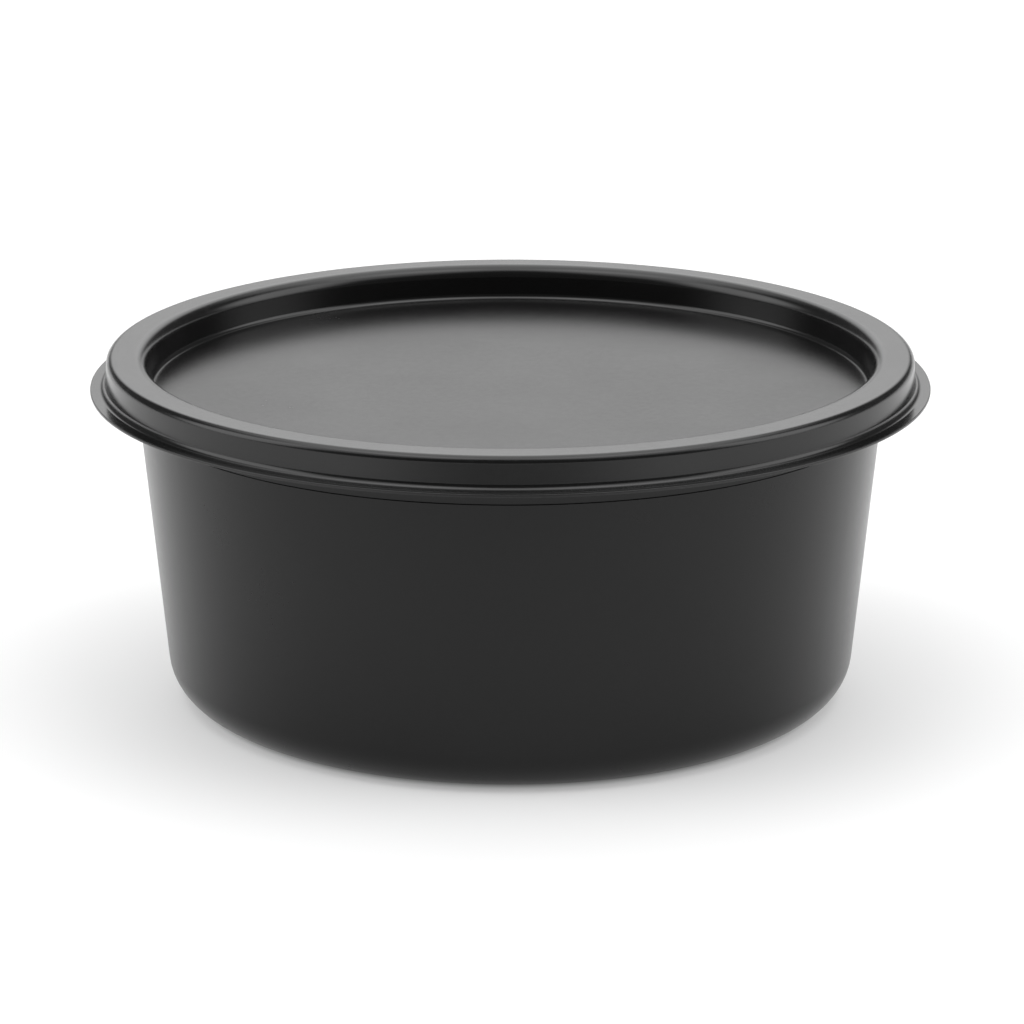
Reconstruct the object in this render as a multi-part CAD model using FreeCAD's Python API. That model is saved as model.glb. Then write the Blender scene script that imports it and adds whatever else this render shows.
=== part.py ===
"""Go stone bowl: a shallow round moulded bowl with a recessed lid that snaps over its lip.

Both pieces are bodies of revolution about Z. The origin is the centre of the base, on the
surface that the bowl stands on. Units are millimetres.
"""

import FreeCAD, Part
import math
import os

# Overall
OVERALL_HEIGHT = 54.3
FLANGE_RADIUS = 65.0

# Bowl
BOWL_WALL = 1.0
BOWL_BASE_RADIUS = 53.1
BOWL_DRAFT = math.radians(5.6)
BASE_CORNER_RADIUS = 7.0
BASE_THICKNESS = 1.2
FOOT_LIFT = 0.8
FOOT_INNER_RADIUS = 43.4
FOOT_STEP_WIDTH = 1.2
FOOT_STEP_ROUND = 0.7
NECK_BOTTOM = 45.87
NECK_STEP = 0.15
NECK_EDGE_ROUND = 0.1
NECK_ROOT_ROUND = 0.03
LIP_OUTER_RADIUS = 61.2
LIP_HANG = 1.1
LIP_INNER_ROUND = 1.4
LIP_EDGE_ROUND = 0.35
LIP_ROOT_ROUND = 0.5

# Gate mark under the base: a shallow dimple round the trimmed stub of the moulding gate
GATE_DIMPLE_RADIUS = 3.0
GATE_DIMPLE_DEPTH = 0.3
GATE_STUB_RADIUS = 0.9
GATE_STUB_HEIGHT = 0.2
GATE_ROUND = 0.08

# Lid
LID_WALL = 0.85
PANEL_HEIGHT = 48.9
RECESS_FOOT_RADIUS = 55.85
RECESS_DRAFT = math.radians(4.0)
RECESS_FOOT_ROUND = 0.9
RIM_INNER_ROUND = 2.0
RIM_OUTER_RADIUS = 62.45
RIM_OUTER_ROUND = 1.1
SKIRT_DRAFT = math.radians(2.0)
SKIRT_FOOT_ROUND = 1.0
CHANNEL_CORNER_ROUND = 0.3
FLANGE_BOTTOM = 49.05
FLANGE_THICKNESS = 0.45
FLANGE_EDGE_ROUND = 0.12

AXIS_ORIGIN = FreeCAD.Vector(0, 0, 0)
AXIS = FreeCAD.Vector(0, 0, 1)
FULL_TURN = 360
SHARP = 0.0
PARTS_FOLDER = "parts"


def drafted(radius, draft, rise):
    """Radius of a drafted wall at a height above the point where its radius is known."""
    return radius + rise * math.tan(draft)


def level(thickness, draft):
    """Thickness of a drafted wall measured level, across its slant."""
    return thickness / math.cos(draft)


def corner_points(before, corner, after, radius):
    """Start, middle and end of the arc that rounds the corner between two straight runs."""
    to_before = (before - corner).normalize()
    to_after = (after - corner).normalize()
    half_angle = to_before.getAngle(to_after) / 2
    tangent = radius / math.tan(half_angle)
    inward = (to_before + to_after).normalize()
    middle = corner + inward * (radius / math.sin(half_angle) - radius)
    return corner + to_before * tangent, middle, corner + to_after * tangent


def profile_wire(outline):
    """Closed wire in the XZ plane from (radius, height, corner rounding) entries."""
    corners = [FreeCAD.Vector(radius, 0, height) for radius, height, _ in outline]
    stops = []
    for index, (_, _, rounding) in enumerate(outline):
        corner = corners[index]
        if rounding == SHARP:
            stops.append((corner, None, corner))
        else:
            following = corners[(index + 1) % len(corners)]
            stops.append(corner_points(corners[index - 1], corner, following, rounding))
    edges = []
    for index, (start, middle, end) in enumerate(stops):
        if middle is not None:
            edges.append(Part.Arc(start, middle, end).toShape())
        next_start = stops[(index + 1) % len(stops)][0]
        edges.append(Part.LineSegment(end, next_start).toShape())
    return Part.Wire(edges)


def turned(outline):
    """Solid of revolution of an outline that starts and ends on the axis."""
    return Part.Face(profile_wire(outline)).revolve(AXIS_ORIGIN, AXIS, FULL_TURN)


def bowl_inside(lip_top):
    """Inner surface of the bowl, from the centre of its floor up to the lip."""
    inner_base_radius = BOWL_BASE_RADIUS - level(BOWL_WALL, BOWL_DRAFT)
    floor_edge = drafted(inner_base_radius, BOWL_DRAFT, BASE_THICKNESS)
    mouth = drafted(inner_base_radius, BOWL_DRAFT, lip_top)
    return [
        (0, FOOT_LIFT + BASE_THICKNESS, SHARP),
        (FOOT_INNER_RADIUS - FOOT_STEP_WIDTH, FOOT_LIFT + BASE_THICKNESS, FOOT_STEP_ROUND),
        (FOOT_INNER_RADIUS, BASE_THICKNESS, FOOT_STEP_ROUND),
        (floor_edge, BASE_THICKNESS, BASE_CORNER_RADIUS - BOWL_WALL),
        (mouth, lip_top, LIP_INNER_ROUND),
    ]


def bowl_lip(lip_top):
    """Outward lip that the lid's channel closes over, with its short turned-down edge."""
    lip_under = lip_top - BOWL_WALL
    lip_bottom = lip_under - LIP_HANG
    wall_under_lip = drafted(BOWL_BASE_RADIUS - NECK_STEP, BOWL_DRAFT, lip_under)
    return [
        (LIP_OUTER_RADIUS, lip_top, LIP_EDGE_ROUND),
        (LIP_OUTER_RADIUS, lip_bottom, LIP_EDGE_ROUND),
        (LIP_OUTER_RADIUS - BOWL_WALL, lip_bottom, LIP_EDGE_ROUND),
        (LIP_OUTER_RADIUS - BOWL_WALL, lip_under, LIP_ROOT_ROUND),
        (wall_under_lip, lip_under, LIP_ROOT_ROUND),
    ]


def bowl_outside():
    """Outer surface of the bowl, from the neck below the lip down to the foot ring."""
    wall_at_neck = drafted(BOWL_BASE_RADIUS, BOWL_DRAFT, NECK_BOTTOM)
    return [
        (wall_at_neck - NECK_STEP, NECK_BOTTOM, NECK_ROOT_ROUND),
        (wall_at_neck, NECK_BOTTOM, NECK_EDGE_ROUND),
        (BOWL_BASE_RADIUS, 0, BASE_CORNER_RADIUS),
        (FOOT_INNER_RADIUS, 0, FOOT_STEP_ROUND),
        (FOOT_INNER_RADIUS - FOOT_STEP_WIDTH, FOOT_LIFT, FOOT_STEP_ROUND),
    ]


def gate_mark():
    """Dimple and stub at the centre of the underside, where the plastic entered the mould."""
    dimple_roof = FOOT_LIFT + GATE_DIMPLE_DEPTH
    return [
        (GATE_DIMPLE_RADIUS, FOOT_LIFT, GATE_ROUND),
        (GATE_DIMPLE_RADIUS - GATE_DIMPLE_DEPTH, dimple_roof, GATE_ROUND),
        (GATE_STUB_RADIUS, dimple_roof, GATE_ROUND),
        (GATE_STUB_RADIUS, dimple_roof - GATE_STUB_HEIGHT, GATE_ROUND),
        (0, dimple_roof - GATE_STUB_HEIGHT, SHARP),
    ]


def make_bowl():
    """The bowl, with its lip's top face where the lid's channel rests on it."""
    lip_top = OVERALL_HEIGHT - LID_WALL
    return turned(bowl_inside(lip_top) + bowl_lip(lip_top) + bowl_outside() + gate_mark())


def lid_top():
    """Upper surface of the lid: recessed panel, recess wall, rim, skirt and flange."""
    flange_top = FLANGE_BOTTOM + FLANGE_THICKNESS
    recess_mouth = drafted(RECESS_FOOT_RADIUS, RECESS_DRAFT, OVERALL_HEIGHT - PANEL_HEIGHT)
    skirt_foot = drafted(RIM_OUTER_RADIUS, SKIRT_DRAFT, OVERALL_HEIGHT - flange_top)
    return [
        (0, PANEL_HEIGHT, SHARP),
        (RECESS_FOOT_RADIUS, PANEL_HEIGHT, RECESS_FOOT_ROUND),
        (recess_mouth, OVERALL_HEIGHT, RIM_INNER_ROUND),
        (RIM_OUTER_RADIUS, OVERALL_HEIGHT, RIM_OUTER_ROUND),
        (skirt_foot, flange_top, SKIRT_FOOT_ROUND),
        (FLANGE_RADIUS, flange_top, FLANGE_EDGE_ROUND),
        (FLANGE_RADIUS, FLANGE_BOTTOM, FLANGE_EDGE_ROUND),
    ]


def lid_underside():
    """Lower surface of the lid: skirt, the channel for the bowl's lip, and the plug."""
    channel_roof = OVERALL_HEIGHT - LID_WALL
    skirt_inside_top = RIM_OUTER_RADIUS - level(LID_WALL, SKIRT_DRAFT)
    skirt_inside_top = drafted(skirt_inside_top, SKIRT_DRAFT, LID_WALL)
    skirt_inside_foot = drafted(skirt_inside_top, SKIRT_DRAFT, channel_roof - FLANGE_BOTTOM)
    plug_at_panel_top = RECESS_FOOT_RADIUS + level(LID_WALL, RECESS_DRAFT)
    plug_top = drafted(plug_at_panel_top, RECESS_DRAFT, channel_roof - PANEL_HEIGHT)
    plug_foot = drafted(plug_at_panel_top, RECESS_DRAFT, -LID_WALL)
    return [
        (skirt_inside_foot, FLANGE_BOTTOM, SKIRT_FOOT_ROUND + LID_WALL),
        (skirt_inside_top, channel_roof, CHANNEL_CORNER_ROUND),
        (plug_top, channel_roof, RIM_INNER_ROUND - LID_WALL),
        (plug_foot, PANEL_HEIGHT - LID_WALL, RECESS_FOOT_ROUND + LID_WALL),
        (0, PANEL_HEIGHT - LID_WALL, SHARP),
    ]


def make_lid():
    """The lid, seated on the bowl."""
    return turned(lid_top() + lid_underside())


os.makedirs(PARTS_FOLDER, exist_ok=True)
for node, solid in (("bowl", make_bowl()), ("lid", make_lid())):
    if not solid.isValid():
        raise ValueError(node + " is not a valid solid")
    solid.exportStep(os.path.join(PARTS_FOLDER, node + ".step"))
    print(node, "volume", round(solid.Volume), "mm3, box", solid.BoundBox)
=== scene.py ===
"""Go stone bowl, closed: a shallow round bowl and its recessed lid in satin black moulded plastic.

Both visible pieces are turned from the same sections as the CAD solids, with exact normals, because
the round corners of a satin moulding show every facet. Lengths are in metres, angles in radians.
"""

import math

import bpy
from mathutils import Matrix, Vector


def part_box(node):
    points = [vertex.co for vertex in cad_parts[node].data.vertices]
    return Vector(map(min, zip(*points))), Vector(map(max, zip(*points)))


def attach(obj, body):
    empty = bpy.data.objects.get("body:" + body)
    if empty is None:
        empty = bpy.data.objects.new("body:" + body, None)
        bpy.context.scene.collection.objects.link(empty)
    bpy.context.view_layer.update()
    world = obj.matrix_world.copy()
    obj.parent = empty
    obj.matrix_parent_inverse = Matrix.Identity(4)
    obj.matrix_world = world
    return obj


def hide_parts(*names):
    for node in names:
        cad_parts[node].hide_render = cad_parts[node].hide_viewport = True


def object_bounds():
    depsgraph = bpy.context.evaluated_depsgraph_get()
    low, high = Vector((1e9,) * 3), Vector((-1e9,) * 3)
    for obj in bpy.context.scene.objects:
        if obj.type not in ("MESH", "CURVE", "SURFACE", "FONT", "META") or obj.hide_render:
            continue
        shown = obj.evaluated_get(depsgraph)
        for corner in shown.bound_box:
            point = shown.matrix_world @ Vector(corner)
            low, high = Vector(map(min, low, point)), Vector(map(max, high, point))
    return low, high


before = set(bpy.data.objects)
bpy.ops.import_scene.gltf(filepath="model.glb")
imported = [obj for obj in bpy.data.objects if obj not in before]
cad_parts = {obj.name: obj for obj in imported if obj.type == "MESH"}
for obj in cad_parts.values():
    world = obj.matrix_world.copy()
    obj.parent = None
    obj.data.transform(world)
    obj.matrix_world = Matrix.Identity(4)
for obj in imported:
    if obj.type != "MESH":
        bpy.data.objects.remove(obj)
cad_low, cad_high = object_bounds()

MM = 0.001
SHARP = 0.0

# Whole object, taken from the CAD parts in model.glb
OVERALL_HEIGHT = cad_high.z
FLANGE_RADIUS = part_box("lid")[1].x

# Bowl section
BOWL_WALL = 1.0 * MM
BOWL_BASE_RADIUS = 53.1 * MM
BOWL_DRAFT = math.radians(5.6)
BASE_CORNER_RADIUS = 7.0 * MM
BASE_THICKNESS = 1.2 * MM
FOOT_LIFT = 0.8 * MM
FOOT_INNER_RADIUS = 43.4 * MM
FOOT_STEP_WIDTH = 1.2 * MM
FOOT_STEP_ROUND = 0.7 * MM
NECK_BOTTOM = 45.87 * MM
NECK_STEP = 0.15 * MM
NECK_EDGE_ROUND = 0.1 * MM
NECK_ROOT_ROUND = 0.03 * MM
LIP_OUTER_RADIUS = 61.2 * MM
LIP_HANG = 1.1 * MM
LIP_INNER_ROUND = 1.4 * MM
LIP_EDGE_ROUND = 0.35 * MM
LIP_ROOT_ROUND = 0.5 * MM

# Gate mark under the base
GATE_DIMPLE_RADIUS = 3.0 * MM
GATE_DIMPLE_DEPTH = 0.3 * MM
GATE_STUB_RADIUS = 0.9 * MM
GATE_STUB_HEIGHT = 0.2 * MM
GATE_ROUND = 0.08 * MM

# Lid section
LID_WALL = 0.85 * MM
PANEL_HEIGHT = 48.9 * MM
RECESS_FOOT_RADIUS = 55.85 * MM
RECESS_DRAFT = math.radians(4.0)
RECESS_FOOT_ROUND = 0.9 * MM
RIM_INNER_ROUND = 2.0 * MM
RIM_OUTER_RADIUS = 62.45 * MM
RIM_OUTER_ROUND = 1.1 * MM
SKIRT_DRAFT = math.radians(2.0)
SKIRT_FOOT_ROUND = 1.0 * MM
CHANNEL_CORNER_ROUND = 0.3 * MM
FLANGE_BOTTOM = 49.05 * MM
FLANGE_THICKNESS = 0.45 * MM
FLANGE_EDGE_ROUND = 0.12 * MM

# Mesh density
SEGMENTS = 384
ARC_STEP = math.radians(7.5)

# Camera
CAMERA_TARGET = Vector((0.00025, 0.0, 0.028))
CAMERA_DISTANCE = 0.6936
CAMERA_ELEVATION = math.radians(16.30)
CAMERA_LENS = 155.67
CAMERA_SENSOR = 36.0
CAMERA_CLIP_START = 0.01
CAMERA_CLIP_END = 20.0

# Plastic
PLASTIC_IOR = 1.42
BASE_DARK = 0.0038
BASE_LIGHT = 0.0052
WORN_LIGHTENING = 0.004
RIM_ROUGHNESS = 0.20
GRAINED_ROUGHNESS = 0.25
SPECKLE_ROUGHENING = 0.012
FLOW_ROUGHENING = 0.015
WORN_ROUGHENING = 0.03
RIM_GLOSS = 0.62
GRAINED_GLOSS = 0.37
FLOW_SIZE = 22 * MM
SPECKLE_SIZE = 0.9 * MM
SPECKLE_DETAIL = 3.0
SCUFF_SIZE = 2.5 * MM
SCUFF_DETAIL = 5.0
SCUFF_BAND = (0.56, 0.72)
NOISE_BAND = (0.3, 0.7)
GRAIN_SIZE = 0.2 * MM
GRAIN_HEIGHT = 1.5e-6
RIM_GRAIN_SHARE = 0.35

WHITE = (1.0, 1.0, 1.0, 1.0)

# Floor: pale. It glows a little outside the bowl's foot ring, which is painted light that lifts the
# bowl's shadow, and leaving the glow out under the foot is painted shade. A round patch on the
# camera's side is painted shade, down to SHADE_DEPTH of the full tone in its middle, because the lid's
# skirt reflects it.
FLOOR_HALF = 3.0
FLOOR_WHITE = 0.62
FLOOR_ROUGHNESS = 0.9
FLOOR_GLOW = 0.33
GLOW_START = (47 * MM, 50 * MM)
SHADE_CENTRE = (0.0, -0.42, 0.0)
SHADE_REACH = (0.08, 0.30)
SHADE_DEPTH = 0.3

# Dome of light: bright up to HORIZON_BAND, which lies a little higher behind the object than in
# front, and dim above it but for the patches. A patch is (azimuth, elevation, inner angle, outer
# angle, radiance) in degrees: full within the inner angle of its centre and gone at the outer.
# Azimuth 0 is the camera's side and 180 is behind the object.
AMBIENT_LIGHT = 0.12
HORIZON_LIGHT = 1.0
HORIZON_BAND = (0.05, 0.08)
HORIZON_RISE = 0.045
LIGHT_PATCHES = (
    (180, 80, 20, 46, 1.9),
    (180, 28, 9, 24, 1.55),
    (58, 60, 10, 28, 1.3),
    (86, 27, 13, 28, 2.2),
)


def drafted(radius, draft, rise):
    """Radius of a drafted wall at a height above the point where its radius is known."""
    return radius + rise * math.tan(draft)


def level(thickness, draft):
    """Thickness of a drafted wall measured level, across its slant."""
    return thickness / math.cos(draft)


def rounded_section(outline):
    """Points, outward normals and edge weights from (radius, height, corner rounding) entries.

    The outline runs clockwise seen with the radius to the right, so the outside is on its left.
    The edge weight is 0 on flats and hollows and 1 in the middle of an outward corner.
    """
    corners = [Vector((radius, height)) for radius, height, _ in outline]
    section = []
    for index, (_, _, rounding) in enumerate(outline):
        corner = corners[index]
        if index in (0, len(outline) - 1):
            beside = corners[1] if index == 0 else corners[index - 1]
            along = (beside - corner) if index == 0 else (corner - beside)
            section.append((corner, left_of(along.normalized()), 0.0))
            continue
        arriving = (corner - corners[index - 1]).normalized()
        leaving = (corners[index + 1] - corner).normalized()
        turn = math.atan2(arriving.x * leaving.y - arriving.y * leaving.x, arriving.dot(leaving))
        side = math.copysign(1.0, turn)
        start = corner - arriving * rounding * math.tan(abs(turn) / 2)
        centre = start + left_of(arriving) * side * rounding
        steps = math.ceil(abs(turn) / ARC_STEP)
        for step in range(steps + 1):
            share = step / steps
            normal = turned_by(left_of(arriving), turn * share)
            edge = math.sin(math.pi * share) if side < 0 else 0.0
            section.append((centre - normal * side * rounding, normal, edge))
    return section


def left_of(direction):
    """The direction a quarter turn to the left."""
    return Vector((-direction.y, direction.x))


def turned_by(direction, angle):
    """The direction turned to the left by an angle."""
    cosine, sine = math.cos(angle), math.sin(angle)
    across = direction.x * cosine - direction.y * sine
    up = direction.x * sine + direction.y * cosine
    return Vector((across, up))


def bowl_outline():
    """The bowl, from the centre of its floor up the inside, over the lip and down to the foot ring."""
    lip_top = OVERALL_HEIGHT - LID_WALL
    inner_base_radius = BOWL_BASE_RADIUS - level(BOWL_WALL, BOWL_DRAFT)
    lip_under = lip_top - BOWL_WALL
    lip_bottom = lip_under - LIP_HANG
    floor_edge = drafted(inner_base_radius, BOWL_DRAFT, BASE_THICKNESS)
    mouth = drafted(inner_base_radius, BOWL_DRAFT, lip_top)
    wall_under_lip = drafted(BOWL_BASE_RADIUS - NECK_STEP, BOWL_DRAFT, lip_under)
    wall_at_neck = drafted(BOWL_BASE_RADIUS, BOWL_DRAFT, NECK_BOTTOM)
    dimple_roof = FOOT_LIFT + GATE_DIMPLE_DEPTH
    return [
        (0, FOOT_LIFT + BASE_THICKNESS, SHARP),
        (FOOT_INNER_RADIUS - FOOT_STEP_WIDTH, FOOT_LIFT + BASE_THICKNESS, FOOT_STEP_ROUND),
        (FOOT_INNER_RADIUS, BASE_THICKNESS, FOOT_STEP_ROUND),
        (floor_edge, BASE_THICKNESS, BASE_CORNER_RADIUS - BOWL_WALL),
        (mouth, lip_top, LIP_INNER_ROUND),
        (LIP_OUTER_RADIUS, lip_top, LIP_EDGE_ROUND),
        (LIP_OUTER_RADIUS, lip_bottom, LIP_EDGE_ROUND),
        (LIP_OUTER_RADIUS - BOWL_WALL, lip_bottom, LIP_EDGE_ROUND),
        (LIP_OUTER_RADIUS - BOWL_WALL, lip_under, LIP_ROOT_ROUND),
        (wall_under_lip, lip_under, LIP_ROOT_ROUND),
        (wall_at_neck - NECK_STEP, NECK_BOTTOM, NECK_ROOT_ROUND),
        (wall_at_neck, NECK_BOTTOM, NECK_EDGE_ROUND),
        (BOWL_BASE_RADIUS, 0, BASE_CORNER_RADIUS),
        (FOOT_INNER_RADIUS, 0, FOOT_STEP_ROUND),
        (FOOT_INNER_RADIUS - FOOT_STEP_WIDTH, FOOT_LIFT, FOOT_STEP_ROUND),
        (GATE_DIMPLE_RADIUS, FOOT_LIFT, GATE_ROUND),
        (GATE_DIMPLE_RADIUS - GATE_DIMPLE_DEPTH, dimple_roof, GATE_ROUND),
        (GATE_STUB_RADIUS, dimple_roof, GATE_ROUND),
        (GATE_STUB_RADIUS, dimple_roof - GATE_STUB_HEIGHT, GATE_ROUND),
        (0, dimple_roof - GATE_STUB_HEIGHT, SHARP),
    ]


def lid_outline():
    """The lid, from the centre of its panel out to the flange and back underneath."""
    flange_top = FLANGE_BOTTOM + FLANGE_THICKNESS
    recess_mouth = drafted(RECESS_FOOT_RADIUS, RECESS_DRAFT, OVERALL_HEIGHT - PANEL_HEIGHT)
    skirt_foot = drafted(RIM_OUTER_RADIUS, SKIRT_DRAFT, OVERALL_HEIGHT - flange_top)
    channel_roof = OVERALL_HEIGHT - LID_WALL
    inside_top = drafted(RIM_OUTER_RADIUS - level(LID_WALL, SKIRT_DRAFT), SKIRT_DRAFT, LID_WALL)
    inside_foot = drafted(inside_top, SKIRT_DRAFT, channel_roof - FLANGE_BOTTOM)
    plug_at_panel = RECESS_FOOT_RADIUS + level(LID_WALL, RECESS_DRAFT)
    plug_top = drafted(plug_at_panel, RECESS_DRAFT, channel_roof - PANEL_HEIGHT)
    plug_foot = drafted(plug_at_panel, RECESS_DRAFT, -LID_WALL)
    return [
        (0, PANEL_HEIGHT, SHARP),
        (RECESS_FOOT_RADIUS, PANEL_HEIGHT, RECESS_FOOT_ROUND),
        (recess_mouth, OVERALL_HEIGHT, RIM_INNER_ROUND),
        (RIM_OUTER_RADIUS, OVERALL_HEIGHT, RIM_OUTER_ROUND),
        (skirt_foot, flange_top, SKIRT_FOOT_ROUND),
        (FLANGE_RADIUS, flange_top, FLANGE_EDGE_ROUND),
        (FLANGE_RADIUS, FLANGE_BOTTOM, FLANGE_EDGE_ROUND),
        (inside_foot, FLANGE_BOTTOM, SKIRT_FOOT_ROUND + LID_WALL),
        (inside_top, channel_roof, CHANNEL_CORNER_ROUND),
        (plug_top, channel_roof, RIM_INNER_ROUND - LID_WALL),
        (plug_foot, PANEL_HEIGHT - LID_WALL, RECESS_FOOT_ROUND + LID_WALL),
        (0, PANEL_HEIGHT - LID_WALL, SHARP),
    ]


def turned(name, section, grained_radius):
    """Closed mesh of revolution of a section that starts and ends on the axis.

    The mould is etched with a fine grain out to grained_radius, and polished beyond it.
    """
    places, normals, edges, grains, rings = [], [], [], [], []
    for place, normal, edge in section:
        count = 1 if place.x == 0 else SEGMENTS
        rings.append([len(places) + index for index in range(count)])
        for index in range(count):
            angle = math.tau * index / SEGMENTS
            cosine, sine = math.cos(angle), math.sin(angle)
            places.append((place.x * cosine, place.x * sine, place.y))
            normals.append((normal.x * cosine, normal.x * sine, normal.y))
            edges.append(edge)
            grains.append(1.0 if place.x <= grained_radius else 0.0)
    faces = []
    for ring, following in zip(rings, rings[1:]):
        for index in range(SEGMENTS):
            after = (index + 1) % SEGMENTS
            if len(ring) == 1:
                faces.append((ring[0], following[index], following[after]))
            elif len(following) == 1:
                faces.append((ring[index], following[0], ring[after]))
            else:
                faces.append((ring[index], following[index], following[after], ring[after]))
    mesh = bpy.data.meshes.new(name)
    mesh.from_pydata(places, [], faces)
    mesh.polygons.foreach_set("use_smooth", [True] * len(faces))
    mesh.normals_split_custom_set_from_vertices(normals)
    mesh.attributes.new("edge", "FLOAT", "POINT").data.foreach_set("value", edges)
    mesh.attributes.new("grain", "FLOAT", "POINT").data.foreach_set("value", grains)
    piece = bpy.data.objects.new(name, mesh)
    bpy.context.scene.collection.objects.link(piece)
    return piece


def socket(node, name, value):
    """Set a shader's own socket to a value that is the same all over."""
    node.inputs[name].default_value = value


class Graph:
    """Short calls for adding and joining shader nodes."""

    def __init__(self, tree):
        self.nodes, self.links = tree.nodes, tree.links

    def add(self, kind, inputs=(), **settings):
        node = self.nodes.new("ShaderNode" + kind)
        for name, value in settings.items():
            setattr(node, name, value)
        for name, value in dict(inputs).items():
            self.give(node.inputs[name], value)
        return node

    def give(self, target, value):
        if isinstance(value, bpy.types.NodeSocket):
            self.links.new(value, target)
        else:
            target.default_value = value

    def maths(self, operation, first, second=0.0, third=0.0):
        node = self.add("Math", {0: first, 1: second, 2: third}, operation=operation)
        return node.outputs[0]

    def measure(self, operation, first, second=(0.0, 0.0, 0.0)):
        """A number worked out from vectors, such as a length, a distance or a dot product."""
        node = self.add("VectorMath", {0: first, 1: second}, operation=operation)
        return node.outputs["Value"]

    def noise(self, place, size, detail=2.0):
        """Noise from 0 to 1 whose largest features are about the given size."""
        node = self.add("TexNoise", {"Vector": place, "Scale": 1.0 / size, "Detail": detail})
        return node.outputs["Fac"]

    def remap(self, value, low, high, start, end, smooth=False):
        inputs = {"Value": value, "From Min": low, "From Max": high, "To Min": start, "To Max": end}
        style = "SMOOTHSTEP" if smooth else "LINEAR"
        return self.add("MapRange", inputs, interpolation_type=style).outputs["Result"]


def black_plastic(name):
    """Satin black moulded plastic: etched grain, polished rims, faint scuffs on outward corners."""
    material = bpy.data.materials.new(name)
    material.use_nodes = True
    shader = material.node_tree.nodes["Principled BSDF"]
    graph = Graph(material.node_tree)
    place = graph.add("TexCoord").outputs["Object"]
    edge = graph.add("Attribute", attribute_name="edge").outputs["Fac"]
    grain = graph.add("Attribute", attribute_name="grain").outputs["Fac"]

    flow = graph.noise(place, FLOW_SIZE)
    speckle = graph.noise(place, SPECKLE_SIZE, SPECKLE_DETAIL)
    scuffs = graph.remap(graph.noise(place, SCUFF_SIZE, SCUFF_DETAIL), *SCUFF_BAND, 0.0, 1.0)
    worn = graph.maths("MULTIPLY", edge, scuffs)

    tone = graph.remap(flow, *NOISE_BAND, BASE_DARK, BASE_LIGHT)
    tone = graph.maths("MULTIPLY_ADD", worn, WORN_LIGHTENING, tone)
    shade = graph.add("CombineColor", {"Red": tone, "Green": tone, "Blue": tone})
    graph.give(shader.inputs["Base Color"], shade.outputs["Color"])

    finish = graph.remap(grain, 0.0, 1.0, RIM_ROUGHNESS, GRAINED_ROUGHNESS)
    for pattern, reach in ((speckle, SPECKLE_ROUGHENING), (flow, FLOW_ROUGHENING)):
        finish = graph.maths("ADD", finish, graph.remap(pattern, *NOISE_BAND, -reach, reach))
    finish = graph.maths("MULTIPLY_ADD", worn, WORN_ROUGHENING, finish)
    graph.give(shader.inputs["Roughness"], finish)
    gloss = graph.remap(grain, 0.0, 1.0, RIM_GLOSS, GRAINED_GLOSS)
    graph.give(shader.inputs["Specular IOR Level"], gloss)
    socket(shader, "IOR", PLASTIC_IOR)

    depth = graph.remap(grain, 0.0, 1.0, RIM_GRAIN_SHARE, 1.0)
    height = graph.maths("MULTIPLY", graph.noise(place, GRAIN_SIZE), depth)
    bump = graph.add("Bump", {"Strength": 1.0, "Distance": GRAIN_HEIGHT, "Height": height})
    graph.give(shader.inputs["Normal"], bump.outputs["Normal"])
    return material


def place_camera():
    """Camera straight in front of the object, looking down at its target."""
    back = Vector((0.0, -math.cos(CAMERA_ELEVATION), math.sin(CAMERA_ELEVATION)))
    data = bpy.data.cameras.new("camera")
    data.lens = CAMERA_LENS
    data.sensor_width = CAMERA_SENSOR
    data.clip_start = CAMERA_CLIP_START
    data.clip_end = CAMERA_CLIP_END
    camera = bpy.data.objects.new("camera", data)
    camera.location = CAMERA_TARGET + back * CAMERA_DISTANCE
    camera.rotation_mode = "QUATERNION"
    camera.rotation_quaternion = (-back).to_track_quat("-Z", "Y")
    bpy.context.scene.collection.objects.link(camera)
    bpy.context.scene.camera = camera


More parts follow.
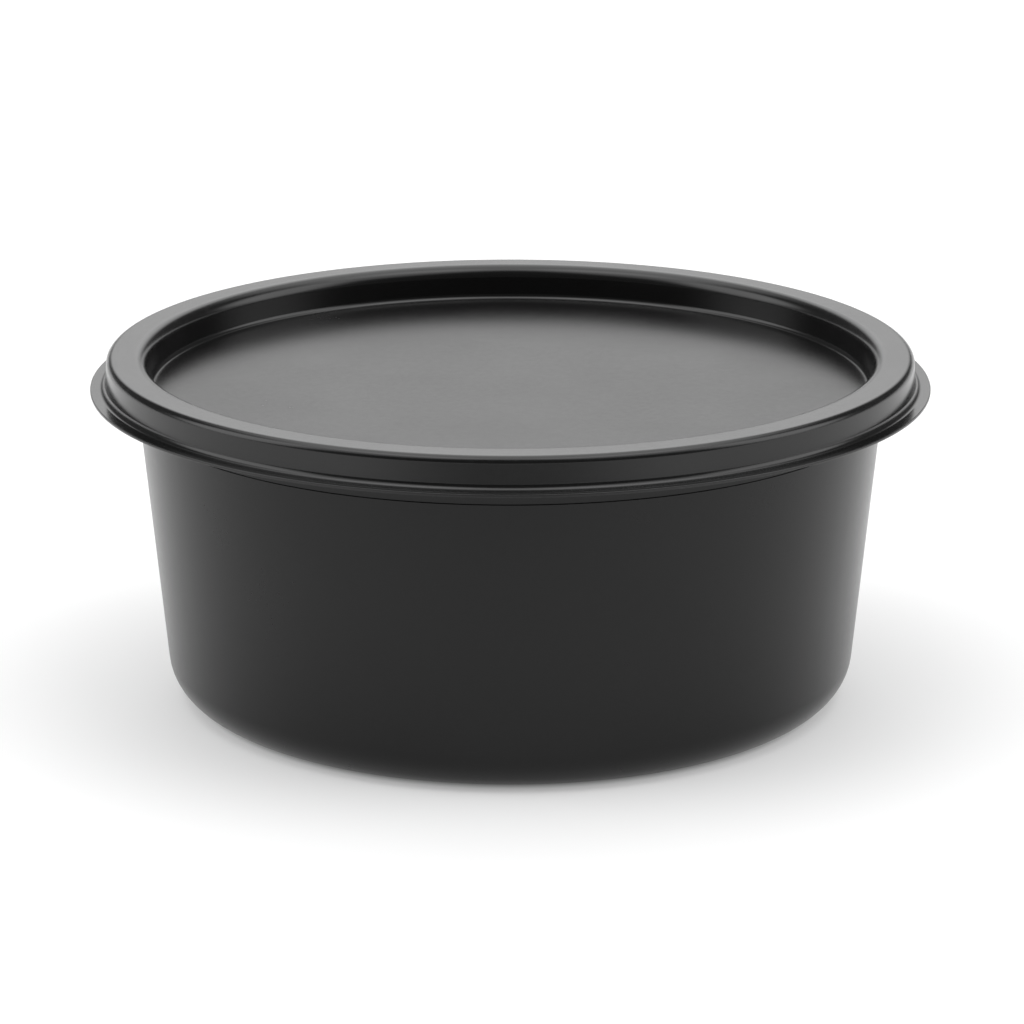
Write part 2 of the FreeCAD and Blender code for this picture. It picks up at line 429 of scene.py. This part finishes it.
def make_floor():
    """Flat square floor under the object, with its painted shade and painted glow."""
    signs = ((-1, -1), (1, -1), (1, 1), (-1, 1))
    corners = [(FLOOR_HALF * across, FLOOR_HALF * along, 0) for across, along in signs]
    mesh = bpy.data.meshes.new("floor")
    mesh.from_pydata(corners, [], [(0, 1, 2, 3)])
    floor = bpy.data.objects.new("floor", mesh)
    bpy.context.scene.collection.objects.link(floor)
    material = bpy.data.materials.new("floor")
    material.use_nodes = True
    shader = material.node_tree.nodes["Principled BSDF"]
    graph = Graph(material.node_tree)
    place = graph.add("TexCoord").outputs["Object"]
    from_axis = graph.measure("LENGTH", place)
    # Painted shade: a darker round patch on the camera's side, for the lid's skirt to reflect.
    from_shade = graph.measure("DISTANCE", place, SHADE_CENTRE)
    shade = graph.remap(from_shade, *SHADE_REACH, SHADE_DEPTH, 1.0, smooth=True)
    white = graph.maths("MULTIPLY", shade, FLOOR_WHITE)
    pale = graph.add("CombineColor", {"Red": white, "Green": white, "Blue": white})
    graph.give(shader.inputs["Base Color"], pale.outputs["Color"])
    # Painted light: the floor glows outside the bowl's foot ring, and no glow under the foot is
    # painted shade.
    glow = graph.maths("MULTIPLY", shade, graph.remap(from_axis, *GLOW_START, 0.0, FLOOR_GLOW))
    graph.give(shader.inputs["Emission Strength"], glow)
    socket(shader, "Emission Color", WHITE)
    socket(shader, "Roughness", FLOOR_ROUGHNESS)
    socket(shader, "Specular IOR Level", 0.0)
    mesh.materials.append(material)


def make_world():
    """Soft studio light as broad patches of a dome, the same on the left and the right."""
    world = bpy.data.worlds.new("studio")
    world.use_nodes = True
    graph = Graph(world.node_tree)
    way = graph.add("SeparateXYZ", {"Vector": graph.add("TexCoord").outputs["Generated"]})
    across = graph.maths("ABSOLUTE", way.outputs["X"])
    mirrored = {"X": across, "Y": way.outputs["Y"], "Z": way.outputs["Z"]}
    mirrored = graph.add("CombineXYZ", mirrored).outputs["Vector"]
    rise = graph.maths("MULTIPLY_ADD", way.outputs["Y"], -HORIZON_RISE, way.outputs["Z"])
    light = graph.remap(rise, *HORIZON_BAND, HORIZON_LIGHT, AMBIENT_LIGHT, smooth=True)
    for azimuth, elevation, inner, outer, radiance in LIGHT_PATCHES:
        azimuth, elevation = math.radians(azimuth), math.radians(elevation)
        level_part = math.cos(elevation)
        centre = (math.sin(azimuth) * level_part, -math.cos(azimuth) * level_part, math.sin(elevation))
        nearness = graph.measure("DOT_PRODUCT", mirrored, centre)
        reach = (math.cos(math.radians(outer)), math.cos(math.radians(inner)))
        light = graph.maths("ADD", light, graph.remap(nearness, *reach, 0.0, radiance, smooth=True))
    background = world.node_tree.nodes["Background"]
    socket(background, "Color", WHITE)
    graph.give(background.inputs["Strength"], light)
    bpy.context.scene.world = world


wall_top_radius = drafted(BOWL_BASE_RADIUS, BOWL_DRAFT, NECK_BOTTOM)
bowl = turned("bowl_shell", rounded_section(bowl_outline()), wall_top_radius)
lid = turned("lid_shell", rounded_section(lid_outline()), RECESS_FOOT_RADIUS - RECESS_FOOT_ROUND / 2)
for piece, node in ((bowl, "bowl"), (lid, "lid")):
    piece.data.materials.append(black_plastic(node + "_plastic"))
    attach(piece, node)
    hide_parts(node)

place_camera()
make_floor()
make_world()
bpy.context.scene.view_settings.view_transform = "Standard"
